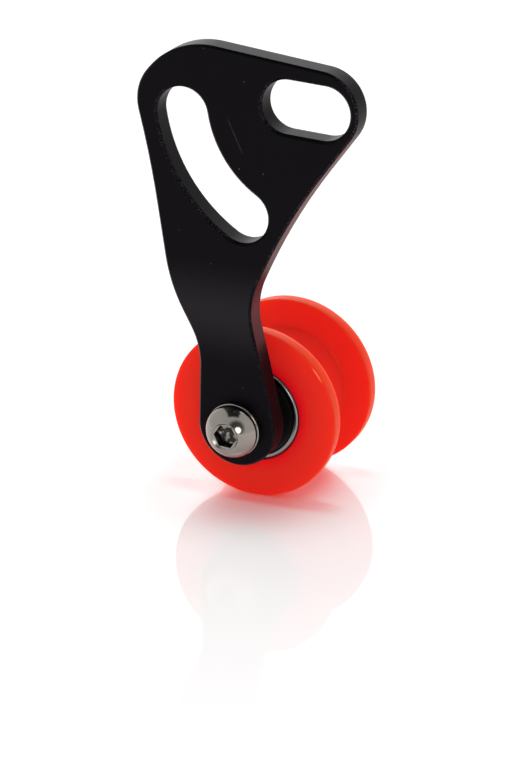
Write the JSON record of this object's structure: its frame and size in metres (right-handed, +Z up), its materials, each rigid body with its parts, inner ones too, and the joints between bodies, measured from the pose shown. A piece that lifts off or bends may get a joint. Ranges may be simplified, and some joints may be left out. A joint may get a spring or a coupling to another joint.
{
  "type": "bicycle chain tensioner",
  "caption": "Flat slotted arm that clamps beside a bicycle's rear axle and carries a flanged roller on ball bearings to keep the chain tight.",
  "frame": {"origin": "centre of the straight axle slot, on the arm's face that lies against the bicycle frame", "axes": "+Y along the roller's axle, from the arm towards the nut; +Z up from the roller to the slots; +X to the right along the axle slot"},
  "size_m": [0.0447, 0.0438, 0.0923],
  "materials": {
    "black_anodised": "satin black anodised",
    "polished_steel": "polished stainless steel",
    "zinc_steel": "bright zinc",
    "bearing_steel": "ground bearing steel",
    "bare_aluminium": "turned aluminium",
    "red_roller": "smooth moulded red plastic, slightly translucent",
    "black_rubber": "moulded black rubber",
    "nylon_cage": "natural nylon",
    "nylon_ring": "white nylon"
  },
  "bodies": {
    "arm": {"mounting_plate": "black_anodised", "axle_bolt": "polished_steel", "head_washer": "polished_steel", "front_spacer": "bare_aluminium", "front_inner_race": "bearing_steel", "centre_spacer": "bare_aluminium", "rear_inner_race": "bearing_steel", "rear_washer": "zinc_steel", "lock_nut": "zinc_steel", "nut_insert": "nylon_ring"},
    "roller": {"chain_roller": "red_roller", "front_outer_race": "bearing_steel", "front_near_seal": "black_rubber", "front_far_seal": "black_rubber", "rear_outer_race": "bearing_steel", "rear_near_seal": "black_rubber", "rear_far_seal": "black_rubber"},
    "front_ball_set": {"front_balls": "bearing_steel", "front_cage": "nylon_cage"},
    "rear_ball_set": {"rear_balls": "bearing_steel", "rear_cage": "nylon_cage"}
  },
  "joints": [
    {"name": "roller_spin", "type": "hinge", "parent": "arm", "child": "roller", "pos_m": [-0.014, 0.0135, -0.0649], "axis": [0, 1, 0], "continuous": true},
    {"name": "front_ball_set_spin", "type": "hinge", "parent": "arm", "child": "front_ball_set", "pos_m": [-0.014, 0.0058, -0.0649], "axis": [0, 1, 0], "continuous": true},
    {"name": "rear_ball_set_spin", "type": "hinge", "parent": "arm", "child": "rear_ball_set", "pos_m": [-0.014, 0.0212, -0.0649], "axis": [0, 1, 0], "continuous": true}
  ],
  "couplings": [
    {"joint": "front_ball_set_spin", "follows": "roller_spin", "ratio": 0.627},
    {"joint": "rear_ball_set_spin", "follows": "roller_spin", "ratio": 0.627}
  ]
}
